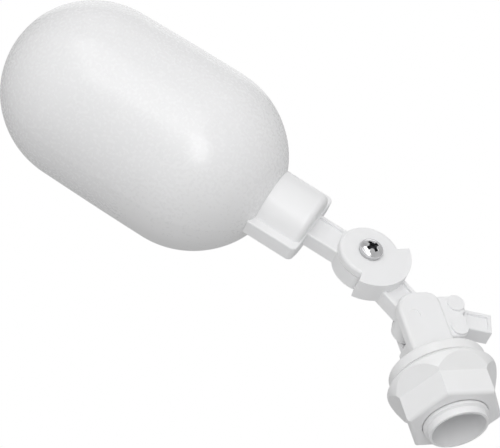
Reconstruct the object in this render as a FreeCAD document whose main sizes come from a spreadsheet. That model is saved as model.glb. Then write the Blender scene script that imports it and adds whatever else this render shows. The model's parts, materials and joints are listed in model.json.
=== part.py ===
import FreeCAD, Part
import math
import os
import re
import Sketcher
from FreeCAD import Placement, Rotation, Vector

# Side-entry float valve with a half inch parallel thread.
# X runs along the pipe axis towards the inlet mouth, Z is up with the valve mounted,
# and Y is the direction of the pivot pin. The origin is the middle of the flange's seating face.

os.makedirs("parts", exist_ok=True)
doc = FreeCAD.newDocument("float_valve")
sheet = doc.addObject("Spreadsheet::Sheet", "Dims")

sizes = {
    # inlet stem and flange
    "thread_radius": 10.48, "thread_pitch": 1.814, "stem_length": 20.0,
    "lead_start": 17.4, "lead_radius": 9.6,
    "bore_radius": 8.7, "step_radius": 6.4, "flange_radius": 15.5, "flange_thick": 3.8, "web_thick": 2.0,
    # head: two cheeks either side of the lever
    "slot_half": 3.3, "cheek_half": 5.2, "plate_half": 7.0, "rear_half": 5.8, "ear_half": 5.9,
    "head_low": 9.5, "head_high": 5.6, "cheek_tip": 27.8, "low_round": 7.5, "high_round": 4.0,
    "block_back": 11.8, "chamber_back": 15.2, "chamber_radius": 4.45, "edge_round": 1.2, "ear_round": 0.6,
    "ear_radius": 3.2, "ear_left": 26.9, "ear_right": 11.3, "rear_ear_top": 14.6, "front_ear_top": 12.9,
    "notch_x": 19.4, "notch_z": 13.7, "notch_radius": 1.1,
    "groove_round": 0.62, "mouth_round": 0.3, "pin_cover": 1.2, "dimple_depth": 0.25,
    # lever
    "pivot_x": 19.0, "pivot_z": 4.8, "pin_radius": 1.5, "fit_gap": 0.05,
    "arm_half": 3.0, "beam_width": 10.2, "rim_width": 1.3, "recess_depth": 0.9,
    "hub_radius": 4.4, "nose_cam_radius": 2.5, "nose_cam_x": 16.95, "rim_round": 0.5,
    "tail_width": 7.4, "tail_top": 22.9, "tail_mid": 17.0, "tail_tilt": 16.5, "tail_length": 13.5,
    "stalk_width": 5.2, "tail_recess_length": 7.0,
    # clamp joint between lever and float arm
    "joint_x": 44.6, "joint_z": 11.8, "lever_angle": 26.0, "arm_angle": 46.2,
    "disc_radius": 10.0, "skirt_radius": 13.8, "skirt_inner": 10.35, "skirt_span": 126.0, "skirt_end": 93.0,
    "joint_front": 6.1, "disc_thick": 2.8, "skirt_back": 1.6, "joint_gap": 0.2,
    "arm_disc_back": 2.6, "screw_radius": 1.95, "head_radius": 3.8, "head_height": 3.1,
    "sink_depth": 0.2, "nut_across": 7.0, "nut_height": 3.2,
    "washer_radius": 4.5, "washer_thick": 0.8,
    # float arm and collar
    "arm_width": 10.4, "collar_start": 19.9, "collar_radius": 11.5, "plate_start": 19.4,
    "plate_width": 28.4, "plate_thick": 5.6, "plate_round": 2.0, "collar_round": 2.0, "cup_wall": 1.6,
    # float
    "float_near": 64.0, "float_far": 101.5, "float_radius": 30.4, "float_end_radius": 30.0,
    "float_wall": 1.2, "neck_radius": 8.4, "neck_wall": 1.6, "plug_depth": 5.0,
    # sealing and clamping rings
    "gasket_thick": 0.9, "gasket_radius": 14.9, "nut_face_radius": 16.4, "nut_radius": 17.5,
    "nut_widest": 2.1, "nut_shoulder": 7.5, "nut_hex": 28.0, "nut_end": 16.2, "nut_bore_radius": 10.6,
    "corner_start": 10.2, "corner_radius": 16.25, "flat_start": 7.4, "flat_slope": 36.0, "nut_round": 1.3,
    # moving seal
    "seat_tip": 5.7, "seat_hole_radius": 1.2, "open_gap": 1.71, "pad_radius": 3.3, "pad_thick": 1.7,
    "pad_proud": 0.5, "plunger_radius": 4.38, "cam_gap": 0.15,
}
for row, (alias, value) in enumerate(sizes.items(), 1):
    sheet.set(f"A{row}", alias)
    sheet.set(f"B{row}", str(value))
    sheet.setAlias(f"B{row}", alias)
doc.recompute()

turns = {"x": Rotation(Vector(0, 1, 0), 90), "y": Rotation(Vector(1, 0, 0), -90), "z": Rotation()}
made = {}


def linked(text):
    """Turns sheet aliases in an expression into references to the sheet."""
    return re.sub(r"[a-z_]+", lambda word: f"Dims.{word[0]}" if word[0] in sizes else word[0], text)


def worth(text):
    return float(sheet.evalExpression(linked(text)))


def bind(item, **expressions):
    for name, text in expressions.items():
        item.setExpression(name.replace("__", "."), linked(text))


def place(item, axis, x, y, z):
    item.Placement = Placement(Vector(), turns[axis])
    bind(item, Placement__Base__x=x, Placement__Base__y=y, Placement__Base__z=z)


def cylinder(name, radius, length, axis="x", x="0", y="0", z="0"):
    item = doc.addObject("Part::Cylinder", name)
    place(item, axis, x, y, z)
    bind(item, Radius=radius, Height=length)
    return item


def cone(name, radius, end_radius, length, axis="x", x="0", y="0", z="0"):
    item = doc.addObject("Part::Cone", name)
    place(item, axis, x, y, z)
    bind(item, Radius1=radius, Radius2=end_radius, Height=length)
    return item


def ball(name, radius, x="0", y="0", z="0"):
    item = doc.addObject("Part::Sphere", name)
    place(item, "z", x, y, z)
    bind(item, Radius=radius)
    return item


def box(name, length, width, height, x, y, z):
    item = doc.addObject("Part::Box", name)
    place(item, "z", x, y, z)
    bind(item, Length=length, Width=width, Height=height)
    return item


def hexagon(name, across, length, axis="x", x="0", y="0", z="0"):
    item = doc.addObject("Part::Prism", name)
    item.Polygon = 6
    place(item, axis, x, y, z)
    bind(item, Circumradius=f"{across} / 2 / cos(30 deg)", Height=length)
    return item


def fuse(name, *items):
    item = doc.addObject("Part::MultiFuse", name)
    item.Shapes = list(items)
    item.Refine = True
    return item


def cut(name, base, *tools):
    item = doc.addObject("Part::Cut", name)
    item.Base = base
    item.Tool = tools[0] if len(tools) == 1 else fuse(name + "_tools", *tools)
    item.Refine = True
    return item


def common(name, first, second):
    item = doc.addObject("Part::MultiCommon", name)
    item.Shapes = [first, second]
    return item


def turned(item, angle, x="0", z="0"):
    """Turns a finished item about the Y direction and moves it to x, z."""
    item.Placement = Placement(Vector(), Rotation(Vector(0, 1, 0), angle))
    bind(item, Placement__Base__x=x, Placement__Base__z=z)
    return item


def finish(item, label):
    item.Label = label
    made[label] = item


def outline(name, points, arcs):
    """A new body with a closed sketch in its XZ plane; arcs gives the radius and centre of round sides."""
    body = doc.addObject("PartDesign::Body", name + "_body")
    sketch = body.newObject("Sketcher::SketchObject", name + "_outline")
    plane = next(part for part in body.Origin.OriginFeatures if part.Role == "XZ_Plane")
    sketch.AttachmentSupport = (plane, [""])
    sketch.MapMode = "FlatFace"
    corners = [Vector(worth(across), worth(up), 0) for across, up in points]
    count = len(points)
    first = [1] * count
    for index, start in enumerate(corners):
        end = corners[(index + 1) % count]
        if index not in arcs:
            sketch.addGeometry(Part.LineSegment(start, end), False)
            continue
        radius, middle = arcs[index]
        centre = Vector(*map(worth, middle), 0)
        if (start - centre).cross(end - centre).z < 0:
            first[index] = 2
            start, end = end, start
        angles = [math.atan2(spot.y - centre.y, spot.x - centre.x) for spot in (start, end)]
        ring = Part.Circle(centre, Vector(0, 0, 1), worth(radius))
        sketch.addGeometry(Part.ArcOfCircle(ring, *angles), False)
    for index in range(count):
        after = (index + 1) % count
        sketch.addConstraint(Sketcher.Constraint("Coincident", index, 3 - first[index], after, first[after]))
    for index, point in enumerate(points):
        for kind, text in zip(("DistanceX", "DistanceY"), point):
            if text == "0":
                axis = -2 if kind == "DistanceX" else -1
                sketch.addConstraint(Sketcher.Constraint("PointOnObject", index, first[index], axis))
                continue
            limit = Sketcher.Constraint(kind, -1, 1, index, first[index], worth(text))
            spot = sketch.addConstraint(limit)
            sketch.setExpression(f"Constraints[{spot}]", linked(text))
        if index in arcs:
            spot = sketch.addConstraint(Sketcher.Constraint("Radius", index, worth(arcs[index][0])))
            sketch.setExpression(f"Constraints[{spot}]", linked(arcs[index][0]))
    return body, sketch


def revolved(name, points, arcs):
    body, sketch = outline(name, points, arcs)
    turn = body.newObject("PartDesign::Revolution", name + "_turn")
    turn.Profile = sketch
    turn.ReferenceAxis = (sketch, ["H_Axis"])
    turn.Angle = 360
    body.Tip = turn
    return body


def rounded(body, radius, chosen):
    """Rounds the edges of the body's last feature whose ends and middle all pass the test."""
    doc.recompute()
    last = body.Tip
    names = []
    for number, edge in enumerate(last.Shape.Edges, 1):
        middle = edge.valueAt((edge.FirstParameter + edge.LastParameter) / 2)
        spots = [vertex.Point for vertex in edge.Vertexes] + [middle]
        if all(chosen(spot) for spot in spots):
            names.append(f"Edge{number}")
    fillet = body.newObject("PartDesign::Fillet", body.Name + "_round")
    fillet.Base = (last, names)
    bind(fillet, Radius=radius)
    body.Tip = fillet
    return body


def slab(name, points, arcs, front, back, edge=None, sides="front"):
    """A flat plate between y = front and y = back, with its front or both outer rims rounded."""
    body, sketch = outline(name, points, arcs)
    pad = body.newObject("PartDesign::Pad", name + "_pad")
    pad.Profile = sketch
    bind(pad, Length=f"{back} - ( {front} )")
    body.Tip = pad
    if edge:
        depth = worth(back) - worth(front)
        levels = {"front": [-depth], "back": [0], "both": [-depth, 0]}[sides]
        rounded(body, edge, lambda spot: any(abs(spot.y - level) < 1e-4 for level in levels))
    bind(body, Placement__Base__y=back)
    return body


def corners_of(left, right, low, high):
    return [(left, low), (right, low), (right, high), (left, high)]


def round_box(left, right, low, high, radius):
    """Points and arcs of a rectangle whose four corners are rounded."""
    points = [(f"{left} + {radius}", low), (f"{right} - {radius}", low),
              (right, f"{low} + {radius}"), (right, f"{high} - {radius}"),
              (f"{right} - {radius}", high), (f"{left} + {radius}", high),
              (left, f"{high} - {radius}"), (left, f"{low} + {radius}")]
    arcs = {1: (radius, (f"{right} - {radius}", f"{low} + {radius}")),
            3: (radius, (f"{right} - {radius}", f"{high} - {radius}")),
            5: (radius, (f"{left} + {radius}", f"{high} - {radius}")),
            7: (radius, (f"{left} + {radius}", f"{low} + {radius}"))}
    return points, arcs


def cheek(name, tip, low, high, low_round, high_round, front, back, sides):
    """One side plate of the head: square at the flange, with two rounded corners at its tip."""
    end, foot = f"- ( {tip} )", f"- ( {low} )"
    points = [("- flange_thick + 0.5", foot), ("- flange_thick + 0.5", high),
              (f"{end} + {high_round}", high), (end, f"{high} - {high_round}"),
              (end, f"{foot} + {low_round}"), (f"{end} + {low_round}", foot)]
    arcs = {2: (high_round, (f"{end} + {high_round}", f"{high} - {high_round}")),
            4: (low_round, (f"{end} + {low_round}", f"{foot} + {low_round}"))}
    return slab(name, points, arcs, front, back, "edge_round", sides)


def ear_plate(name, front, back, sides):
    """The set-back plate above a cheek, with a rounded ear at each end of its top."""
    rear, ahead = "- ear_left + ear_radius", "- ear_right - ear_radius"
    rear_top, ahead_top = "rear_ear_top - ear_radius", "front_ear_top - ear_radius"
    points = [("- ear_right", "0"), ("- ear_right", ahead_top), (ahead, "front_ear_top"),
              (rear, "rear_ear_top"), ("- ear_left", rear_top), ("- ear_left", "0")]
    arcs = {1: ("ear_radius", (ahead, ahead_top)), 3: ("ear_radius", (rear, rear_top))}
    return slab(name, points, arcs, front, back, "ear_round", sides)


def valve_body():
    flange = revolved("flange", [
        ("- flange_thick", "0"), ("0", "0"), ("0", "flange_radius - 0.4"), ("- 0.4", "flange_radius"),
        ("- flange_thick + 1", "flange_radius"), ("- flange_thick", "flange_radius - 1")],
        {2: ("0.4", ("- 0.4", "flange_radius - 0.4")),
         4: ("1", ("- flange_thick + 1", "flange_radius - 1"))})
    mouth = ("stem_length - mouth_round", "lead_radius - mouth_round")
    stem = revolved("stem", [("- 1", "0"), ("stem_length", "0"), ("stem_length", mouth[1]),
                             (mouth[0], "lead_radius"), ("lead_start + 0.4", "lead_radius"),
                             ("lead_start", "thread_radius"), ("- 1", "thread_radius")],
                    {2: ("mouth_round", mouth)})
    front = cheek("front_cheek", "cheek_tip", "head_low", "head_high", "low_round", "high_round",
                  "- plate_half", "- slot_half", "front")
    rear = cheek("rear_cheek", "cheek_tip - 1.8", "head_low - 2.3", "head_high - 1.0", "3.5", "3.0",
                 "slot_half", "rear_half", "back")
    block = cheek("block", "block_back", "head_low - 1.0", "head_high - 0.6", "0.5", "0.5",
                  "- plate_half + 1", "rear_half - 0.5", "back")
    ears = [ear_plate("front_ears", "- cheek_half", "- slot_half", "front"),
            ear_plate("rear_ears", "slot_half", "cheek_half", "back")]
    pads = [cylinder("rear_ear_pad", "ear_radius - 0.3", "ear_half - slot_half - 0.5", "y",
                     "- ear_left + ear_radius", "- ear_half", "rear_ear_top - ear_radius"),
            cylinder("front_ear_pad", "ear_radius - 0.3", "ear_half - slot_half - 0.5", "y",
                     "- ear_right - ear_radius", "- ear_half", "front_ear_top - ear_radius")]
    solid = fuse("body_solid", flange, stem, block, front, rear, *ears, *pads)
    bore = cylinder("inlet_bore", "bore_radius", "stem_length + 1")
    step = cylinder("bore_step", "step_radius", "flange_thick", x="web_thick - flange_thick")
    chamber = cylinder("chamber", "chamber_radius", "chamber_back - flange_thick", x="- chamber_back")
    nozzle_hole = cylinder("nozzle_hole", "3.2", "web_thick + 2", x="- flange_thick - 1")
    pin_hole = cylinder("pin_hole", "pin_radius + 0.01", "plate_half - pin_cover + 9", "y",
                        "- pivot_x", "- plate_half + pin_cover", "- pivot_z")
    dimple = cylinder("pin_dimple", "pin_radius + 0.3", "1", "y",
                      "- pivot_x", "- plate_half - 1 + dimple_depth", "- pivot_z")
    notch = cylinder("ear_notch", "notch_radius", "4 * cheek_half", "y",
                     "- notch_x", "- 2 * cheek_half", "notch_z")
    grooves = []
    count = int((sizes["lead_start"] - 1.3) // sizes["thread_pitch"]) + 1
    for turn in range(count):
        ring = doc.addObject("Part::Torus", f"groove{turn}")
        place(ring, "x", f"1.3 + {turn} * thread_pitch", "0", "0")
        bind(ring, Radius1="thread_radius + 0.1", Radius2="groove_round")
        grooves.append(ring)
    tools = [bore, step, chamber, nozzle_hole, pin_hole, dimple, notch] + grooves
    finish(cut("valve_body", solid, *tools), "valve_body")


def seat_nozzle():
    head = cylinder("nozzle_head", "5", "1.2", x="web_thick - flange_thick")
    shank = cylinder("nozzle_shank", "3.18", "web_thick", x="- flange_thick")
    nose = cone("nozzle_nose", "1.9", "2.6", "seat_tip - flange_thick", x="- seat_tip")
    hole = cylinder("nozzle_orifice", "seat_hole_radius", "9", x="- seat_tip - 1")
    finish(cut("seat_nozzle", fuse("nozzle_solid", head, shank, nose), hole), "seat_nozzle")


def plunger():
    face = "- seat_tip - open_gap - pad_proud"
    back = "- nose_cam_x + nose_cam_radius + cam_gap"
    rod = cylinder("plunger_rod", "plunger_radius", f"{face} - ( {back} )", x=back)
    pocket = cylinder("plunger_pocket", "pad_radius", "pad_thick",
                      x="- seat_tip - open_gap - pad_thick")
    flutes = []
    for quarter in range(4):
        angle = math.radians(45 + 90 * quarter)
        flutes.append(cylinder(f"flute{quarter}", "1.1", "20", "x", "- 24",
                               f"plunger_radius * {math.cos(angle):.6f}",
                               f"plunger_radius * {math.sin(angle):.6f}"))
    finish(cut("plunger", rod, pocket, *flutes), "plunger")
    pad = cylinder("seal_pad", "pad_radius - 0.01", "pad_thick", x="- seat_tip - open_gap - pad_thick")
    finish(pad, "seal_pad")


def pivot_pin():
    pin = cylinder("pivot_pin", "pin_radius", "plate_half - pin_cover + rear_half - 0.3", "y",
                   "- pivot_x", "- plate_half + pin_cover", "- pivot_z")
    finish(pin, "pivot_pin")


def flange_rings():
    gasket = revolved("flange_gasket", [
        ("0", "nut_bore_radius"), ("gasket_thick", "nut_bore_radius"),
        ("gasket_thick", "gasket_radius - 0.4"),
        ("gasket_thick - 0.4", "gasket_radius"), ("0.4", "gasket_radius"), ("0", "gasket_radius - 0.4")],
        {2: ("0.4", ("gasket_thick - 0.4", "gasket_radius - 0.4")),
         4: ("0.4", ("0.4", "gasket_radius - 0.4"))})
    finish(gasket, "flange_gasket")
    nut = revolved("back_nut", [
        ("gasket_thick", "nut_bore_radius"), ("nut_end", "nut_bore_radius"), ("nut_end", "corner_radius"),
        ("corner_start", "corner_radius"), ("nut_shoulder", "corner_radius + 0.5"),
        ("nut_widest + 1.9", "nut_radius - 0.15"), ("nut_widest", "nut_radius"),
        ("gasket_thick", "nut_face_radius")], {})
    slope = Rotation(Vector(0, 1, 0), sizes["flat_slope"]) * Rotation(Vector(0, 0, 1), 180)
    for side in range(6):
        angle = 30 + 60 * side
        around = Rotation(Vector(1, 0, 0), -angle)
        sine, cosine = math.sin(math.radians(angle)), math.cos(math.radians(angle))
        for kind, lie, edge in (("flat", Rotation(), -1), ("ramp", slope, 1)):
            block = nut.newObject("PartDesign::SubtractiveBox", f"nut_{kind}{side}")
            block.Placement = Placement(Vector(), around * lie)
            bind(block, Length="nut_end", Width="2 * nut_radius", Height="nut_radius",
                 Placement__Base__x="flat_start",
                 Placement__Base__y=f"nut_hex / 2 * {sine:.6f} + nut_radius * {edge * cosine:.6f}",
                 Placement__Base__z=f"nut_hex / 2 * {cosine:.6f} - nut_radius * {edge * sine:.6f}")
            nut.Tip = block
    end, reach = sizes["nut_end"], sizes["nut_hex"] / 2 - 0.1
    rounded(nut, "nut_round", lambda spot: abs(spot.x - end) < 1e-3 and math.hypot(spot.y, spot.z) > reach)
    finish(nut, "back_nut")


def puck(name, radius, length, x, y, z, edge):
    """A disc across the arm, with the rim of its front face rounded."""
    body = doc.addObject("PartDesign::Body", name + "_body")
    disc = body.newObject("PartDesign::AdditiveCylinder", name + "_disc")
    bind(disc, Radius=radius, Height=length)
    body.Tip = disc
    rounded(body, edge, lambda spot: abs(spot.z) < 1e-4)
    place(body, "y", x, y, z)
    return body


def lever():
    centre = {"x": "- joint_x", "z": "- joint_z"}
    disc = puck("lever_disc", "disc_radius", "disc_thick", y="- joint_front", edge="edge_round", **centre)
    skirt = cylinder("skirt", "skirt_radius", "joint_front + skirt_back", "y",
                     y="- joint_front", **centre)
    skirt.Placement.Rotation = Rotation(Vector(0, 1, 0), -sizes["skirt_end"]) * turns["y"]
    bind(skirt, Angle="skirt_span")
    pocket = cylinder("skirt_pocket", "skirt_inner", "joint_front + skirt_back", "y",
                      y="- joint_front + disc_thick", **centre)
    clamp = cut("clamp_half", fuse("clamp_solid", disc, skirt), pocket)
    beam = slab("lever_beam", corners_of("skirt_inner + 0.4", "26.5", "- beam_width / 2", "beam_width / 2"),
                {}, "- arm_half", "arm_half", "rim_round", "both")
    recess = box("beam_recess", "14", "recess_depth * 2", "beam_width - 2 * rim_width",
                 "skirt_radius - 1", "- arm_half - recess_depth", "- beam_width / 2 + rim_width")
    beam_cut = turned(cut("beam_body", beam, recess), -sizes["lever_angle"], "- joint_x", "- joint_z")
    hub = cylinder("lever_hub", "hub_radius", "2 * arm_half", "y", "- pivot_x", "- arm_half", "- pivot_z")
    cam = cylinder("lever_cam", "nose_cam_radius", "2 * arm_half", "y", "- nose_cam_x", "- arm_half")
    tail = slab("lever_tail", corners_of("- tail_width / 2", "tail_width / 2", "- tail_length", "0"),
                {}, "- arm_half", "arm_half", "rim_round", "both")
    stalk = box("lever_stalk", "stalk_width", "2 * arm_half", "20", "- stalk_width / 2", "- arm_half",
                "- tail_length - 15")
    tail_recess = box("tail_recess", "tail_width - 2 * rim_width", "recess_depth * 2", "tail_recess_length",
                      "- tail_width / 2 + rim_width", "- arm_half - recess_depth",
                      "- tail_recess_length - rim_width")
    tail_cut = turned(cut("tail_body", fuse("tail_solid", tail, stalk), tail_recess), sizes["tail_tilt"],
                      "- tail_mid", "tail_top")
    solid = fuse("lever_solid", clamp, beam_cut, hub, cam, tail_cut)
    sink = cylinder("disc_sink", "head_radius + 0.3", "2", "y",
                    y="- joint_front - 2 + sink_depth", **centre)
    hole = cylinder("disc_hole", "screw_radius + 0.1", "12", "y", y="- joint_front - 1", **centre)
    pivot = cylinder("pivot_hole", "pin_radius + fit_gap", "10", "y", "- pivot_x", "- 5", "- pivot_z")
    finish(cut("lever", solid, sink, hole, pivot), "lever")


def clamp_screw():
    centre = {"x": "- joint_x", "z": "- joint_z"}
    head = cylinder("screw_head", "head_radius", "head_height", "y",
                    y="- joint_front + sink_depth - head_height", **centre)
    dome = ball("screw_dome", "5.2", y="- joint_front + sink_depth - head_height + 5.0", **centre)
    shank = cylinder("screw_shank", "screw_radius", "joint_front + 7", "y",
                     y="- joint_front + sink_depth", **centre)
    blades = []
    for turn, angle in (("a", -20), ("b", -110)):
        blade = box("cross_" + turn, "5", "4", "1", "- 2.5", "0", "- 0.5")
        core = box("core_" + turn, "1.6", "4", "1.6", "- 0.8", "0", "- 0.8")
        holder = fuse("cross_turn_" + turn, blade, core)
        turned(holder, angle, "- joint_x", "- joint_z")
        bind(holder, Placement__Base__y="- joint_front + sink_depth - head_height - 2.4")
        blades.append(holder)
    body = fuse("screw_solid", common("screw_cap", head, dome), shank)
    finish(cut("clamp_screw", body, *blades), "clamp_screw")
    washer = cylinder("washer_ring", "washer_radius", "washer_thick", "y",
                      y="arm_disc_back + 0.05", **centre)
    washer_hole = cylinder("washer_hole", "screw_radius + 0.1", "4", "y", y="arm_disc_back - 1", **centre)
    finish(cut("clamp_washer", washer, washer_hole), "clamp_washer")
    nut = hexagon("clamp_nut_prism", "nut_across", "nut_height", "y",
                  y="arm_disc_back + 0.05 + washer_thick", **centre)
    nut_hole = cylinder("clamp_nut_hole", "screw_radius + 0.01", "8", "y", y="arm_disc_back", **centre)
    finish(cut("clamp_nut", nut, nut_hole), "clamp_nut")


def float_arm():
    disc = cylinder("arm_disc", "disc_radius", "joint_front - disc_thick - joint_gap + arm_disc_back", "y",
                    y="- joint_front + disc_thick + joint_gap")
    beam = slab("arm_beam", corners_of("- plate_start - 3", "- 3", "- arm_width / 2", "arm_width / 2"),
                {}, "- arm_half", "arm_half - 0.4", "rim_round", "both")
    recess = box("arm_recess", "plate_start - disc_radius - 0.8", "recess_depth * 2",
                 "arm_width - 2 * rim_width", "- plate_start + 0.1", "- arm_half - recess_depth",
                 "- arm_width / 2 + rim_width")
    bar = cut("arm_bar", beam, recess)
    collar = revolved("collar", [
        ("- collar_start - 20", "0"), ("- collar_start", "0"),
        ("- collar_start", "collar_radius - collar_round"),
        ("- collar_start - collar_round", "collar_radius"), ("- collar_start - 20", "collar_radius")],
        {2: ("collar_round", ("- collar_start - collar_round", "collar_radius - collar_round"))})
    plate = slab("collar_plate", *round_box("- plate_start - 22", "- plate_start", "- plate_width / 2",
                                            "plate_width / 2", "plate_round"),
                 "- plate_thick / 2", "plate_thick / 2", "rim_round", "both")
    solid = fuse("arm_solid", disc, bar, collar, plate)
    hollow = ball("float_seat", "float_radius + 0.05", x="- float_near")
    socket = cylinder("neck_socket", "neck_radius + 0.03", "30", x="- collar_start - cup_wall - 30")
    hole = cylinder("arm_hole", "screw_radius + 0.07", "20", "y", y="- 10")
    arm = cut("float_arm", solid, hollow, socket, hole)
    finish(turned(arm, -sizes["arm_angle"], "- joint_x", "- joint_z"), "float_arm")


def float_shell():
    inner, inner_end = "float_radius - float_wall", "float_end_radius - float_wall"
    neck_inner = "neck_radius - neck_wall"
    neck_end = "- collar_start - cup_wall - 0.1"
    points = [
        ("- float_far - float_end_radius", "0"),
        ("- float_far", "float_end_radius"),
        ("- float_near", "float_radius"),
        ("- float_near + sqrt(float_radius ^ 2 - neck_radius ^ 2)", "neck_radius"),
        (neck_end, "neck_radius"),
        (neck_end, neck_inner),
        (f"- float_near + sqrt(( {inner} ) ^ 2 - ( {neck_inner} ) ^ 2)", neck_inner),
        ("- float_near", inner),
        ("- float_far", inner_end),
        (f"- float_far - ( {inner_end} )", "0"),
    ]
    far, near = ("- float_far", "0"), ("- float_near", "0")
    arcs = {0: ("float_end_radius", far), 2: ("float_radius", near), 6: (inner, near), 8: (inner_end, far)}
    shell = revolved("float_shell", points, arcs)
    finish(turned(shell, -sizes["arm_angle"], "- joint_x", "- joint_z"), "float_shell")
    plug = cylinder("plug_disc", "neck_radius - neck_wall - 0.01", "plug_depth",
                    x="- collar_start - cup_wall - 0.1 - plug_depth")
    dimple = cylinder("plug_dimple", "2", "2", x="- collar_start - cup_wall - 1.1")
    plug = cut("float_plug_cut", plug, dimple)
    finish(turned(plug, -sizes["arm_angle"], "- joint_x", "- joint_z"), "float_plug")


for make in (valve_body, seat_nozzle, plunger, pivot_pin, flange_rings, lever, clamp_screw,
             float_arm, float_shell):
    make()
doc.recompute()

for item in doc.Objects:
    if "Invalid" in item.State or "Error" in item.State:
        raise RuntimeError(f"{item.Name} failed: {item.State}")
for label, item in made.items():
    if item.Shape.isNull() or not item.Shape.isValid():
        raise RuntimeError(f"{label} has no valid shape")
    print(f"{label}: {len(item.Shape.Solids)} solid, {item.Shape.Volume:.0f} mm3")
    item.Shape.exportStep(f"parts/{label}.step")
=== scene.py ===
import json
import math
import bmesh
import bpy
import numpy as np
from mathutils import Matrix, Vector


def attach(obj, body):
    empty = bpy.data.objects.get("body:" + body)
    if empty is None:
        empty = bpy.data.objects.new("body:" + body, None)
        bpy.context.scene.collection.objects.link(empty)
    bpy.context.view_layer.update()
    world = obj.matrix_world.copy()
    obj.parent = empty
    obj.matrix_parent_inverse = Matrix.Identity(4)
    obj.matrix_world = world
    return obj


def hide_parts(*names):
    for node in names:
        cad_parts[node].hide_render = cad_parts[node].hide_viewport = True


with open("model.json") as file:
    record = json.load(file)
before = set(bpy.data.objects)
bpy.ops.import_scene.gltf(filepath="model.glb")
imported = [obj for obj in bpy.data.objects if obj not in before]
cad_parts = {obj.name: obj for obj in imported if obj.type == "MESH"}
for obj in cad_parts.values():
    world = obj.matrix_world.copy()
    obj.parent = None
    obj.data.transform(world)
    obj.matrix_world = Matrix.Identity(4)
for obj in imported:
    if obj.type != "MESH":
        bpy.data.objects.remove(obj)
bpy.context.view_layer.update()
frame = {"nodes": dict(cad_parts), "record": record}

nodes = frame["nodes"]
bpy.context.scene.view_settings.view_transform = "Standard"
print("frame loaded")


# A socket that can be used in sums, with plain numbers or other sockets.
class Shade:
    def __init__(self, tree, socket):
        self.tree = tree
        self.socket = socket

    def maths(self, operation, *values):
        node = self.tree.nodes.new("ShaderNodeMath")
        node.operation = operation
        for slot, value in zip(node.inputs, values):
            if isinstance(value, Shade):
                self.tree.links.new(value.socket, slot)
            else:
                slot.default_value = value
        return Shade(self.tree, node.outputs[0])

    def __add__(self, other):
        return self.maths("ADD", self, other)

    def __radd__(self, other):
        return self.maths("ADD", other, self)

    def __sub__(self, other):
        return self.maths("SUBTRACT", self, other)

    def __rsub__(self, other):
        return self.maths("SUBTRACT", other, self)

    def __mul__(self, other):
        return self.maths("MULTIPLY", self, other)

    def __rmul__(self, other):
        return self.maths("MULTIPLY", other, self)

    def within(self, low, high):
        return self.maths("MINIMUM", self.maths("MAXIMUM", self, low), high)


# A node material. add makes any node from its type, settings and the values or links of its sockets.
class Finish:
    def __init__(self, name):
        self.material = bpy.data.materials.new(name)
        self.material.use_nodes = True
        self.tree = self.material.node_tree
        self.shader = self.tree.nodes["Principled BSDF"]

    def add(self, kind, settings=None, output=0, **inputs):
        node = self.tree.nodes.new("ShaderNode" + kind)
        for key, value in (settings or {}).items():
            setattr(node, key, value)
        for key, value in inputs.items():
            self.feed(node.inputs[key.replace("_", " ")], value)
        return Shade(self.tree, node.outputs[output])

    def feed(self, slot, value):
        if isinstance(value, Shade):
            self.tree.links.new(value.socket, slot)
        else:
            slot.default_value = value

    def set(self, **inputs):
        for key, value in inputs.items():
            self.feed(self.shader.inputs[key.replace("_", " ")], value)

    # Noise in the piece's own metres: scale is in lumps per metre.
    def noise(self, scale, detail=3.0, stretch=(1, 1, 1)):
        where = self.add("TexCoord", output=3)
        if stretch != (1, 1, 1):
            where = self.add("Mapping", Vector=where, Scale=stretch)
        return self.add("TexNoise", Vector=where, Scale=scale, Detail=detail)

    # A blend of two colours by a socket from 0 to 1.
    def blend(self, amount, first, second):
        node = self.tree.nodes.new("ShaderNodeMix")
        node.data_type = "RGBA"
        self.feed(node.inputs[0], amount)
        self.feed(node.inputs[6], first if isinstance(first, Shade) else (*first, 1))
        self.feed(node.inputs[7], second if isinstance(second, Shade) else (*second, 1))
        return Shade(self.tree, node.outputs[2])


bodyLook = {"clean": (0.905, 0.907, 0.914), "aged": (0.85, 0.85, 0.842), "roughness": 0.36, "spread": 0.14,
            "grainScale": 1400.0, "swirlScale": 60.0, "clouds": 22.0, "depth": 0.00005, "coat": 0.05}
floatLook = {"clean": (0.89, 0.892, 0.898), "aged": (0.855, 0.855, 0.852), "roughness": 0.27, "spread": 0.08,
             "grainScale": 900.0, "swirlScale": 20.0, "clouds": 12.0, "depth": 0.000015, "coat": 0.12}
gasketLook = {"clean": (0.76, 0.76, 0.765), "aged": (0.66, 0.66, 0.65), "roughness": 0.6, "spread": 0.25,
              "grainScale": 2400.0, "swirlScale": 180.0, "clouds": 60.0, "depth": 0.00007, "coat": 0.0}
sealLook = {"clean": (0.045, 0.045, 0.047), "aged": (0.09, 0.09, 0.09), "roughness": 0.62, "spread": 0.2,
            "grainScale": 2600.0, "swirlScale": 240.0, "clouds": 80.0, "depth": 0.00006, "coat": 0.0}


# Moulded plastic or rubber: a fine skin grain, flow swirls, and faint clouds of handling dirt.
def moulded(name, look):
    finish = Finish(name)
    grain = finish.noise(look["grainScale"], 4.0)
    swirl = finish.noise(look["swirlScale"], 3.0, (1, 1, 2.5))
    clouds = finish.noise(look["clouds"], 5.0)
    dirt = ((clouds - 0.52) * 3.0).within(0.0, 1.0)
    height = grain * 0.35 + swirl * 0.65
    finish.set(Base_Color=finish.blend(dirt, look["clean"], look["aged"]),
               Roughness=(grain - 0.5) * look["spread"] + dirt * 0.06 + look["roughness"],
               Normal=finish.add("Bump", Height=height, Distance=look["depth"], Strength=0.6),
               Coat_Weight=look["coat"], IOR=1.49)
    return finish.material


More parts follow.
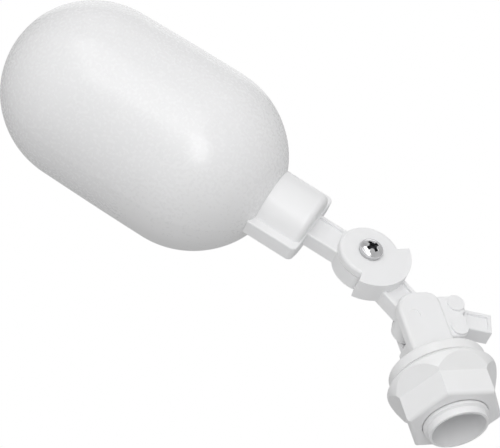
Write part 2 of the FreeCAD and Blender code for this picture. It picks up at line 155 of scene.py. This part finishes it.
steelLook = {"bright": (0.70, 0.70, 0.71), "dull": (0.46, 0.46, 0.47), "roughness": 0.14, "spread": 0.22,
             "scratchScale": 900.0, "smudgeScale": 300.0, "depth": 0.00002}


# Tumbled stainless steel: fine drawn scratches, with smudges where it is duller.
def tumbledSteel(look):
    finish = Finish("tumbledSteel")
    scratch = finish.noise(look["scratchScale"], 4.0, (1, 6, 1))
    smudge = finish.noise(look["smudgeScale"], 3.0)
    finish.set(Base_Color=finish.blend(smudge, look["bright"], look["dull"]), Metallic=1.0,
               Roughness=(smudge - 0.4) * look["spread"] + look["roughness"],
               Normal=finish.add("Bump", Height=scratch, Distance=look["depth"], Strength=0.7))
    return finish.material


# The screw's near-black colour is painted shade for its recess.
screwLook = {"bright": (0.86, 0.86, 0.87), "dull": (0.62, 0.62, 0.63), "recessShade": (0.045, 0.045, 0.048),
             "roughness": 0.10, "spread": 0.10, "scratchScale": 1500.0, "smudgeScale": 500.0,
             "depth": 0.000006}


# Polished stainless steel, painted near-black down in the recess as shade and rougher there, where the
# piece's own recess value rises.
def polishedSteel(look):
    finish = Finish("polishedSteel")
    scratch = finish.noise(look["scratchScale"], 4.0, (1, 6, 1))
    smudge = finish.noise(look["smudgeScale"], 3.0)
    recessShade = finish.add("Attribute", {"attribute_name": "recessShade"}, 2)
    metal = finish.blend(smudge, look["bright"], look["dull"])
    finish.set(Base_Color=finish.blend((recessShade * 1.6).within(0.0, 1.0), metal, look["recessShade"]), Metallic=1.0,
               Roughness=(smudge - 0.4) * look["spread"] + recessShade * 0.3 + look["roughness"],
               Normal=finish.add("Bump", Height=scratch, Distance=look["depth"], Strength=0.5))
    return finish.material


finishes = {"body_plastic": moulded("bodyPlastic", bodyLook),
            "float_plastic": moulded("floatPlastic", floatLook),
            "gasket_rubber": moulded("gasketRubber", gasketLook),
            "seal_rubber": moulded("sealRubber", sealLook),
            "stainless": tumbledSteel(steelLook)}
slots = {part["node"]: part["material_slot"] for part in frame["record"]["subparts"]}
for name, slot in slots.items():
    nodes[name].data.materials.clear()
    nodes[name].data.materials.append(finishes[slot])
print("finishes on")


# The arm's line: from the clamp joint, 46.2 degrees below level, away from the pipe.
armTurn = math.radians(46.2)
joint = np.array((-0.0446, 0.0, -0.0118))
along = np.array((-math.cos(armTurn), 0.0, -math.sin(armTurn)))
side = np.array((0.0, 1.0, 0.0))
over = np.cross(along, side)


def newPiece(name, points, faces, body, node):
    mesh = bpy.data.meshes.new(name)
    mesh.from_pydata(points.reshape(-1, 3).tolist(), [], faces)
    mesh.shade_smooth()
    mesh.materials.append(finishes[slots[node]])
    piece = bpy.data.objects.new(name, mesh)
    bpy.context.scene.collection.objects.link(piece)
    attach(piece, body)
    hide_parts(node)
    return piece


# Quads of a grid of rows and columns; its columns close into a ring, and its rows too if asked.
def ringFaces(rows, columns, closed=False):
    row = np.arange(rows if closed else rows - 1)[:, None]
    column = np.arange(columns)[None, :]
    after = (column + 1) % columns
    below = (row + 1) % rows
    quads = np.stack([row * columns + column, row * columns + after,
                      below * columns + after, below * columns + column], axis=-1)
    return quads.reshape(-1, 4).tolist()


floatShape = {"near": 0.0640, "far": 0.1015, "radius": 0.0304, "endRadius": 0.0300, "neck": 0.0084,
              "neckFront": 0.0216, "wall": 0.0012, "neckWall": 0.0016, "seamHeight": 0.00009,
              "seamWidth": 0.0005, "sag": 0.00012, "sagTurns": 95.0, "columns": 192, "capRows": 56,
              "sideRows": 28, "neckRows": 8}


# Profile of the float: (s, r) along the arm's line, down the neck, round the near end,
# along the side and round the far end, with s = centre + r sin(t), r = radius cos(t) on each cap.
def floatProfile(shape, wall, neckWall):
    neck = shape["neck"] - neckWall
    nearRadius = shape["radius"] - wall
    farRadius = shape["endRadius"] - wall
    start = math.acos(neck / nearRadius)
    near = np.linspace(-start, 0, shape["capRows"])
    far = np.linspace(0, math.pi / 2 - 0.004, shape["capRows"])
    neckEnd = shape["near"] - math.sin(start) * nearRadius
    neckRows = np.linspace(shape["neckFront"], neckEnd, shape["neckRows"])[:-1]
    sideRows = np.linspace(0, 1, shape["sideRows"])[1:-1]
    s = [neckRows, shape["near"] + nearRadius * np.sin(near),
         shape["near"] + (shape["far"] - shape["near"]) * sideRows, shape["far"] + farRadius * np.sin(far)]
    r = [np.full(len(neckRows), neck), nearRadius * np.cos(near),
         nearRadius + (farRadius - nearRadius) * sideRows, farRadius * np.cos(far)]
    return np.concatenate(s), np.concatenate(r)


# The float's skin: the profile turned about the arm's line. The radius gains a fine seam
# where the two mould halves meet, seamHeight exp(-(distance from the mid plane / seamWidth)^2),
# and loses sag (1 - sin(2a + 0.6) sin(sagTurns s + 0.4)) of the thin wall, fading out at the ends.
def makeFloat(shape):
    angle = np.linspace(0, 2 * math.pi, shape["columns"], endpoint=False)
    outerS, outerR = floatProfile(shape, 0.0, 0.0)
    innerS, innerR = floatProfile(shape, shape["wall"], shape["neckWall"])
    fromSeam = outerR[:, None] * np.cos(angle)[None, :]
    seam = shape["seamHeight"] * np.exp(-(fromSeam / shape["seamWidth"]) ** 2)
    bodyOnly = np.clip((outerR - shape["neck"] - 0.004) / 0.01, 0, 1)[:, None]
    wave = np.sin(shape["sagTurns"] * outerS + 0.4)
    ripple = shape["sag"] * np.sin(2 * angle + 0.6)[None, :] * wave[:, None]
    shift = (seam - shape["sag"] + ripple) * bodyOnly
    outer = outerR[:, None] + shift
    s = np.concatenate([outerS, innerS[::-1]])[:, None]
    r = np.concatenate([outer, np.repeat(innerR[::-1, None], shape["columns"], axis=1)])
    points = (joint + s[..., None] * along + (r * np.cos(angle))[..., None] * side
              + (r * np.sin(angle))[..., None] * over)
    # the two walls join round the neck's mouth and close with a small cap at each pole
    ringSize = shape["columns"]
    faces = ringFaces(len(s), ringSize, True)
    poleRow = len(outerS) - 1
    faces = [face for face in faces if face[0] // ringSize != poleRow]
    faces.append(list(range(poleRow * ringSize, (poleRow + 1) * ringSize)))
    faces.append(list(range((poleRow + 1) * ringSize, (poleRow + 2) * ringSize))[::-1])
    newPiece("floatSkin", points, faces, "float", "float_shell")


makeFloat(floatShape)
print("float made")


screwShape = {"radius": 0.0038, "front": 0.0090, "base": 0.0059, "dome": 0.0054, "rim": 0.0004,
              "reach": 0.0022, "slotHalf": 0.00066, "core": 0.0013, "depth": 0.0021, "wall": 0.00018,
              "crossTurn": 20.0, "shank": 0.00195, "end": 0.0073, "pitch": 0.0007, "thread": 0.00012,
              "threadStart": -0.001, "chamfer": 0.0003, "lip": 0.0001, "axisGap": 0.00003,
              "columns": 200, "topRows": 66, "rimRows": 7, "shankRows": 90}


# The clamp screw, turned about the Y line through the joint. Its head is
# y = -front + dome - sqrt(dome^2 - r^2), with a rounded rim. The recess lies inside two crossed
# slots and a round core, and sinks by depth (1 - 0.5 r / reach) there. The shank's thread is a
# triangle wave of y / pitch + angle / turn.
def makeScrew(shape):
    angle = np.linspace(0, 2 * math.pi, shape["columns"], endpoint=False)
    topR = np.linspace(shape["axisGap"], shape["radius"] - shape["rim"], shape["topRows"])
    topY = -shape["front"] + shape["dome"] - np.sqrt(shape["dome"] ** 2 - topR ** 2)
    bend = np.linspace(0, math.pi / 2, shape["rimRows"])[1:]
    rimR = shape["radius"] - shape["rim"] + shape["rim"] * np.sin(bend)
    rimY = topY[-1] + shape["rim"] * (1 - np.cos(bend))
    shankY = np.linspace(-shape["base"], shape["end"] - shape["chamfer"], shape["shankRows"])
    shankR = np.full(shape["shankRows"], shape["shank"])
    underR = [shape["radius"], shape["radius"] - shape["lip"], shape["shank"] + 2 * shape["lip"]]
    underY = [-shape["base"] - shape["lip"], -shape["base"], -shape["base"]]
    tipR = [shape["shank"] - shape["chamfer"], shape["axisGap"]]
    profileR = np.concatenate([topR, rimR, underR, shankR, tipR])
    profileY = np.concatenate([topY, rimY, underY, shankY, [shape["end"], shape["end"]]])
    r = np.repeat(profileR[:, None], shape["columns"], axis=1)
    y = np.repeat(profileY[:, None], shape["columns"], axis=1)
    cross = angle[None, :] - math.radians(shape["crossTurn"])
    u = np.abs(r * np.cos(cross))
    v = np.abs(r * np.sin(cross))
    slotA = np.maximum(v - shape["slotHalf"], u - shape["reach"])
    slotB = np.maximum(u - shape["slotHalf"], v - shape["reach"])
    inside = np.minimum(np.minimum(slotA, slotB), r - shape["core"])
    sink = np.clip(-inside / shape["wall"], 0, 1)
    sink = sink * sink * (3 - 2 * sink) * (1 - 0.5 * r / shape["reach"])
    sink[len(topR):] = 0
    turns = y / shape["pitch"] + angle[None, :] / (2 * math.pi)
    ridge = np.abs(turns - np.floor(turns) - 0.5) * 2
    threaded = (y > shape["threadStart"]) & (y < shape["end"] - shape["chamfer"])
    r = r - shape["thread"] * ridge * threaded
    y = y + sink * shape["depth"]
    points = np.stack([joint[0] + r * np.cos(angle), y, joint[2] + r * np.sin(angle)], axis=-1)
    rows = len(profileR)
    faces = ringFaces(rows, shape["columns"])
    faces.append(list(range(shape["columns"]))[::-1])
    faces.append(list(range((rows - 1) * shape["columns"], rows * shape["columns"])))
    piece = newPiece("clampScrewHead", points, faces, "lever", "clamp_screw")
    # The recess's sink is stored on the points, to paint the recess dark as shade.
    recessShade = piece.data.attributes.new("recessShade", "FLOAT", "POINT")
    recessShade.data.foreach_set("value", sink.reshape(-1).astype(np.float32))
    piece.data.materials.clear()
    piece.data.materials.append(polishedSteel(screwLook))


makeScrew(screwShape)
print("screw made")


edgeLook = {"valve_body": ("valve", 0.0003, 38), "lever": ("lever", 0.0004, 38),
            "float_arm": ("float", 0.0004, 38), "back_nut": ("valve", 0.0009, 16),
            "flange_gasket": ("valve", 0.0001, 50), "clamp_nut": ("lever", 0.0002, 30),
            "clamp_washer": ("lever", 0.00012, 40), "plunger": ("plunger", 0.0002, 38)}


# Normals at each point, each face counting by its area, so broad flat faces stay flat in the light.
def steadyNormals(mesh):
    faceCount = len(mesh.polygons)
    normals = np.empty(faceCount * 3)
    areas = np.empty(faceCount)
    corners = np.empty(faceCount, dtype=int)
    points = np.empty(len(mesh.loops), dtype=int)
    mesh.polygons.foreach_get("normal", normals)
    mesh.polygons.foreach_get("area", areas)
    mesh.polygons.foreach_get("loop_total", corners)
    mesh.loops.foreach_get("vertex_index", points)
    shares = np.repeat(normals.reshape(-1, 3) * areas[:, None], corners, axis=0)
    total = np.zeros((len(mesh.vertices), 3))
    np.add.at(total, points, shares)
    total /= np.maximum(np.linalg.norm(total, axis=1, keepdims=True), 1e-12)
    mesh.normals_split_custom_set_from_vertices(total.tolist())


# A merged copy of a CAD node with its sharp edges softened the way a mould leaves them.
def softened(name, body, width, angle):
    shape = bmesh.new()
    shape.from_mesh(nodes[name].data)
    bmesh.ops.remove_doubles(shape, verts=shape.verts, dist=2e-6)
    bmesh.ops.dissolve_degenerate(shape, edges=shape.edges, dist=1e-6)
    bmesh.ops.dissolve_limit(shape, verts=shape.verts, edges=shape.edges, angle_limit=math.radians(0.5))
    limit = math.radians(angle)
    sharp = [edge for edge in shape.edges if edge.is_manifold and edge.calc_face_angle() > limit]
    bmesh.ops.bevel(shape, geom=sharp, offset=width, offset_type="OFFSET", segments=3, profile=0.5,
                    affect="EDGES", clamp_overlap=True)
    mesh = bpy.data.meshes.new(name + "Soft")
    shape.to_mesh(mesh)
    shape.free()
    mesh.shade_smooth()
    steadyNormals(mesh)
    mesh.materials.append(finishes[slots[name]])
    piece = bpy.data.objects.new(name + "Soft", mesh)
    bpy.context.scene.collection.objects.link(piece)
    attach(piece, body)
    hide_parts(name)


for name, (body, width, angle) in edgeLook.items():
    softened(name, body, width, angle)
print("edges softened")


stage = {"floorLevel": -0.52, "floorHalf": 6.0, "fill": 0.53, "tilt": 0.12, "focus": (-0.045, 0.0, -0.03)}


def makeFloor():
    half = stage["floorHalf"]
    level = stage["floorLevel"]
    mesh = bpy.data.meshes.new("floor")
    corners = [(-half, -half, level), (half, -half, level), (half, half, level), (-half, half, level)]
    mesh.from_pydata(corners, [], [(0, 1, 2, 3)])
    floor = bpy.data.objects.new("floor", mesh)
    bpy.context.scene.collection.objects.link(floor)
    finish = Finish("floorPaint")
    finish.set(Base_Color=(0.9, 0.9, 0.9, 1), Roughness=finish.noise(20.0) * 0.2 + 0.6)
    mesh.materials.append(finish.material)


# columns: the picture's right, its up, and back towards the camera
cameraTurn = Matrix(((0.261, -0.7824, 0.56545), (-0.30301, -0.62255, -0.72154),
                     (0.91655, 0.01699, -0.39956)))
cameraPlace = Vector((0.44567, -0.64652, -0.40432))
pictureRight, pictureUp, pictureBack = cameraTurn.col


def makeCamera():
    data = bpy.data.cameras.new("camera")
    data.sensor_width = 36.0
    data.lens = 205.86
    data.clip_end = 30.0
    camera = bpy.data.objects.new("camera", data)
    bpy.context.scene.collection.objects.link(camera)
    camera.matrix_world = Matrix.Translation(cameraPlace) @ cameraTurn.to_4x4()
    bpy.context.scene.camera = camera


def softBox(name, towards, distance, size, power):
    data = bpy.data.lights.new(name, "AREA")
    data.shape = "DISK"
    data.size = size
    data.energy = power
    lamp = bpy.data.objects.new(name, data)
    bpy.context.scene.collection.objects.link(lamp)
    direction = towards.normalized()
    lamp.location = direction * distance + Vector(stage["focus"])
    lamp.rotation_mode = "QUATERNION"
    lamp.rotation_quaternion = direction.to_track_quat("Z", "Y")


# A white room: the camera sees it full white, and the object is lit by it more softly, less from below.
def makeWorld():
    world = bpy.data.worlds.new("studio")
    world.use_nodes = True
    bpy.context.scene.world = world
    tree = world.node_tree
    tree.nodes.clear()
    out = tree.nodes.new("ShaderNodeOutputWorld")
    mix = tree.nodes.new("ShaderNodeMixShader")
    path = tree.nodes.new("ShaderNodeLightPath")
    seen = tree.nodes.new("ShaderNodeBackground")
    fill = tree.nodes.new("ShaderNodeBackground")
    seen.inputs[0].default_value = (1, 1, 1, 1)
    seen.inputs[1].default_value = 1.0
    fill.inputs[0].default_value = (1, 1, 1, 1)
    direction = tree.nodes.new("ShaderNodeTexCoord")
    height = tree.nodes.new("ShaderNodeVectorMath")
    height.operation = "DOT_PRODUCT"
    height.inputs[1].default_value = pictureUp
    tree.links.new(direction.outputs["Generated"], height.inputs[0])
    strength = Shade(tree, height.outputs["Value"]) * stage["tilt"] + stage["fill"]
    tree.links.new(strength.socket, fill.inputs[1])
    tree.links.new(path.outputs["Is Camera Ray"], mix.inputs[0])
    tree.links.new(fill.outputs[0], mix.inputs[1])
    tree.links.new(seen.outputs[0], mix.inputs[2])
    tree.links.new(mix.outputs[0], out.inputs[0])


makeFloor()
makeCamera()
makeWorld()
softBox("key", pictureUp * 0.8 + pictureBack * 0.85 - pictureRight * 0.3, 0.9, 0.9, 2.9)
softBox("front", pictureBack + pictureUp * 0.15, 1.1, 0.7, 4.6)
softBox("back", pictureUp * 0.6 - pictureBack, 1.1, 0.8, 0.8)
print("stage set")
